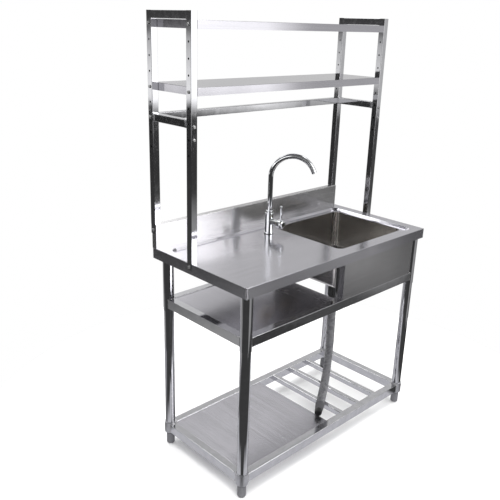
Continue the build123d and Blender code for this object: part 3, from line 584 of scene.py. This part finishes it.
def make_brace_collars():
    """Folded collars that join the ends of the rack's side bars to the uprights."""
    verts, faces = [], []
    for side in ("left", "right"):
        low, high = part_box(f"rack_side_bar_{side}")
        middle = (low + high) / 2
        half_x, half_z = (high.x - low.x) / 2, (high.z - low.z) / 2
        for start, step in ((low.y + COLLAR_GAP, COLLAR_LENGTH), (high.y - COLLAR_GAP, -COLLAR_LENGTH)):
            rings = []
            for y_part, grow in ((0, COLLAR_FIT), (0, COLLAR_WALL * 0.5), (0.04, COLLAR_WALL),
                                 (0.96, COLLAR_WALL), (1, COLLAR_WALL * 0.5), (1, COLLAR_FIT)):
                outline = rounded_outline(half_x + grow, half_z + grow, COLLAR_CORNER_RADIUS)
                y = start + step * y_part
                rings.append([Vector((middle.x + u, y, middle.z + w)) for u, w in outline])
            count = min(len(ring) for ring in rings)
            rings = [[ring[int(i * len(ring) / count)] for i in range(count)] for ring in rings]
            more_verts, more_faces = ring_skin(rings + [rings[0]], closed_ends=False)
            base = len(verts)
            verts += more_verts
            faces += [tuple(base + i for i in face) for face in more_faces]
    collars = add_mesh("brace_collars", verts, faces, sharp=35)
    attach(collars, "sink_frame")
    return collars


# ------------------------------------------------------------------ studio
FLOOR_RADIUS = 1.30
FLOOR_RINGS = 6
FLOOR_SEGMENTS = 96
CARD_SIDES = (("X", 0.5), ("Y", 0.25))     # half size of the mirrored floor's bright part
CARD_FADE = (0.14, 0.30)                   # distance past it over which that floor goes dark
CARD_CORNER = 0.03                         # the same off its corners
CARD_BACK = (0.30, 0.60)                   # stretch along Y over which the far part lights up again
CARD_BACK_SHARE = 0.35                     # how much of the darkness is left there


def make_floor():
    """Pale floor disc; in mirrors it shows a painted reflection, glowing bright under the object and dark
    round it.
    """
    rings, segments = FLOOR_RINGS, FLOOR_SEGMENTS
    verts, faces = [(0.0, 0.0, 0.0)], []
    for r in range(1, rings + 1):
        for i in range(segments):
            a = 2 * math.pi * i / segments
            radius = FLOOR_RADIUS * r / rings
            verts.append((radius * math.cos(a), radius * math.sin(a), 0.0))
    for i in range(segments):
        faces.append((0, 1 + i, 1 + (i + 1) % segments))
    for r in range(rings - 1):
        a, b = 1 + r * segments, 1 + (r + 1) * segments
        for i in range(segments):
            j = (i + 1) % segments
            faces.append((a + i, b + i, b + j, a + j))
    floor = add_mesh("floor", verts, faces)
    material, tree, shader = new_material("floor_paper_and_reflection_glow")
    fibre = mapped_noise(tree, (60, 60, 60), detail=4)
    tree.links.new(tint(tree, fibre, (0.95, 0.95, 0.95), (0.97, 0.97, 0.97)), shader.inputs["Base Color"])
    shader.inputs["Roughness"].default_value = 0.85
    shader.inputs["Specular IOR Level"].default_value = 0.1
    place = add_node(tree, "SeparateXYZ", {0: add_node(tree, "TexCoord").outputs["Object"]}).outputs
    gaps = []
    for side, half in CARD_SIDES:
        gap = add_node(tree, "Math", {0: place[side]}, operation="ABSOLUTE").outputs[0]
        gaps.append(add_values(tree, add_values(tree, gap, half, "SUBTRACT"), 0.0, "MAXIMUM"))
    squares = add_values(tree, *[add_values(tree, gap, 2.0, "POWER") for gap in gaps])
    away = add_node(tree, "Math", {0: squares}, operation="SQRT").outputs[0]
    corner = ramp(tree, add_values(tree, *gaps, "MINIMUM"), 0.0, CARD_CORNER, 0, 1)
    far = add_values(tree, ramp(tree, away, *CARD_FADE, 0, 1), corner, "MAXIMUM")
    far = add_values(tree, far, ramp(tree, place["Y"], *CARD_BACK, 1.0, CARD_BACK_SHARE), "MULTIPLY")
    # painted reflection: glossy rays see the floor as a glow, bright under the object and dark round it
    reflection_glow = add_node(tree, "Emission", {"Color": tint(tree, far, (0.62, 0.62, 0.65), (0.06, 0.06, 0.06)),
                                       "Strength": 1.0})
    mirrored = add_node(tree, "LightPath").outputs["Is Glossy Ray"]
    both = add_node(tree, "MixShader", {0: mirrored, 1: shader.outputs[0], 2: reflection_glow.outputs[0]})
    tree.links.new(both.outputs[0], tree.nodes["Material Output"].inputs["Surface"])
    floor.data.materials.append(material)


# Brightness of the room by elevation in degrees, one list for each side that it is seen on
OVERHEAD = [(46, 0.9), (50, 3.6), (58, 3.6), (64, 0.5), (76, 0.15), (90, 0.10)]
OVERHEAD_NEAR = [(46, 0.25), (58, 0.08), (90, 0.10)]
ROOM_NEAR = [(-90, 0.10), (-20, 0.05), (-10.5, 0.04), (-9, 0.8), (-1, 0.8), (1, 0.05)] + OVERHEAD_NEAR
ROOM_STRIP = [(-90, 0.10), (-20, 0.05), (-5, 0.03), (8, 0.06), (11, 2.4), (23, 2.4),
              (27, 0.06)] + OVERHEAD_NEAR
ROOM_WINDOW_RIGHT = [(-90, 0.35), (-17, 0.35), (-14.5, 0.05), (-7.6, 0.05), (-6.4, 1.7), (2, 1.8),
                     (8, 4.6), (25, 4.4), (36, 0.6)] + OVERHEAD_NEAR
ROOM_EDGE = [(-90, 0.35), (-17, 0.35), (-14.5, 0.05), (-7.6, 0.05), (-6.4, 1.7), (2, 1.7),
             (7, 0.75), (26, 0.65), (36, 0.5)] + OVERHEAD_NEAR
ROOM_RIGHT = [(-90, 0.08), (-23, 0.09), (-20, 0.52), (-17, 0.48), (-14.5, 0.08), (-7.6, 0.08),
              (-6.4, 0.60), (12, 0.55), (30, 0.50)] + OVERHEAD_NEAR
ROOM_FAR_RIGHT = [(-90, 0.08), (-23, 0.08), (-20, 0.12), (-17, 0.11), (-14.5, 0.08), (-7.6, 0.08),
                  (-6.4, 0.50), (12, 0.40), (30, 0.30)] + OVERHEAD
ROOM_BACK = [(-90, 0.70), (-12, 0.70), (-8, 0.45), (0, 0.58), (8, 0.66), (12, 0.62), (20, 0.70),
             (26, 0.66), (40, 0.52)] + OVERHEAD
ROOM_WINDOW_BACK = [(-90, 0.70), (-12, 0.70), (-8, 0.45), (0, 0.58), (8, 0.66), (12, 2.1), (19.6, 2.1),
                    (21.5, 0.90), (26, 0.66), (40, 0.52)] + OVERHEAD
ROOM_LEFT = [(-90, 0.45), (-27, 0.38), (-22, 0.07), (-12, 0.04), (-7.0, 0.03), (-6.3, 1.2),
             (-4.0, 1.0), (-1.4, 0.6), (-0.4, 0.06), (10, 0.05), (36, 0.3)] + OVERHEAD
ROOM_FAR_LEFT = [(-90, 0.45), (-27, 0.38), (-22, 0.07), (-12, 0.04), (-5.2, 0.03), (-4.6, 1.1), (-4.0, 1.0),
                 (-1.4, 0.6), (-0.4, 0.06), (10, 0.05), (36, 0.3)] + OVERHEAD
# Azimuth in degrees from +X towards +Y, over which one list gives way to the next
ROOM_SWEEP = [(-148, -144, ROOM_NEAR), (-88, -84, ROOM_WINDOW_RIGHT), (-50, -48.5, ROOM_EDGE),
              (-45, -42, ROOM_RIGHT), (-34, -31, ROOM_FAR_RIGHT), (-10, 0, ROOM_BACK),
              (49, 54, ROOM_WINDOW_BACK), (100, 115, ROOM_LEFT), (133, 137, ROOM_FAR_LEFT),
              (148, 152, ROOM_STRIP)]


def room_light(tree, elevation, stops):
    """Grey level by elevation."""
    made = add_node(tree, "ValToRGB", {"Fac": ramp(tree, elevation, -90, 90, 0, 1)})
    elements = made.color_ramp.elements
    while len(elements) < len(stops):
        elements.new(0.5)
    for element, (degrees, value) in zip(elements, stops):
        element.position = (degrees + 90) / 180
        element.color = (value, value, value, 1)
    return made.outputs[0]


def make_world():
    """Soft studio: white for the camera, and round the object a room with windows and a dark band."""
    world = bpy.data.worlds.new("studio")
    scene.world = world
    world.use_nodes = True
    tree = world.node_tree
    tree.nodes.clear()
    direction = add_node(tree, "TexCoord").outputs["Generated"]
    parts = add_node(tree, "SeparateXYZ", {0: direction}).outputs
    to_degrees = 180 / math.pi
    rise = add_node(tree, "Math", {0: parts["Z"]}, operation="ARCSINE").outputs[0]
    elevation = add_values(tree, rise, to_degrees, "MULTIPLY")
    turn = add_node(tree, "Math", {0: parts["Y"], 1: parts["X"]}, operation="ARCTAN2").outputs[0]
    azimuth = add_values(tree, turn, to_degrees, "MULTIPLY")
    light = room_light(tree, elevation, ROOM_STRIP)
    for start, end, stops in ROOM_SWEEP:
        share = ramp(tree, azimuth, start, end, 0, 1)
        mix = add_node(tree, "Mix", {"Factor": share, 6: light, 7: room_light(tree, elevation, stops)},
                       data_type="RGBA")
        light = mix.outputs[2]
    room = add_node(tree, "Background", {"Color": light, "Strength": 1.0})
    paper = add_node(tree, "Background", {"Color": (1, 1, 1, 1), "Strength": 1.0})
    seen = add_node(tree, "LightPath").outputs["Is Camera Ray"]
    both = add_node(tree, "MixShader", {0: seen, 1: room.outputs[0], 2: paper.outputs[0]})
    out = add_node(tree, "OutputWorld")
    tree.links.new(both.outputs[0], out.inputs["Surface"])


# Name, place, diameter and power of each lamp
LAMPS = [("lamp_top", (0.0, 0.0, 4.2), 4.0, 210.0), ("lamp_front", (-1.8, -2.4, 2.6), 2.2, 60.0)]
LAMP_TARGET = Vector((0, 0, 0.3))


def make_lights():
    """Large soft lamps above, which light the floor and the plastics."""
    for name, at, size, power in LAMPS:
        data = bpy.data.lights.new(name, "AREA")
        data.shape, data.size, data.energy = "DISK", size, power
        lamp = bpy.data.objects.new(name, data)
        scene.collection.objects.link(lamp)
        lamp.location = at
        aim = LAMP_TARGET - Vector(at)
        lamp.rotation_euler = aim.to_track_quat("-Z", "Y").to_euler()
        lamp.visible_glossy = False


def set_view():
    """Plain view transform, so that pale stays pale."""
    scene.view_settings.view_transform = "Standard"
    scene.view_settings.look = "None"
    scene.view_settings.exposure = 0.0
    scene.view_settings.gamma = 1.0


make_camera()
hose, cuff, cap = make_hose()
give_materials(hose, cuff, cap)
weld_steel = raw_metal("weld_bead", (0.50, 0.49, 0.49), (0.64, 0.63, 0.62), 0.26)
for welds in (make_weld_beads("mid", lambda y, x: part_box(f"leg_sleeve_{y}_{x}")),
              make_weld_beads("base", socket_box)):
    welds.data.materials.append(weld_steel)
collars = make_brace_collars()
collars.data.materials.append(polished_steel("polished_collar", ALONG_Z, rough=0.12))
make_floor()
make_world()
make_lights()
set_view()
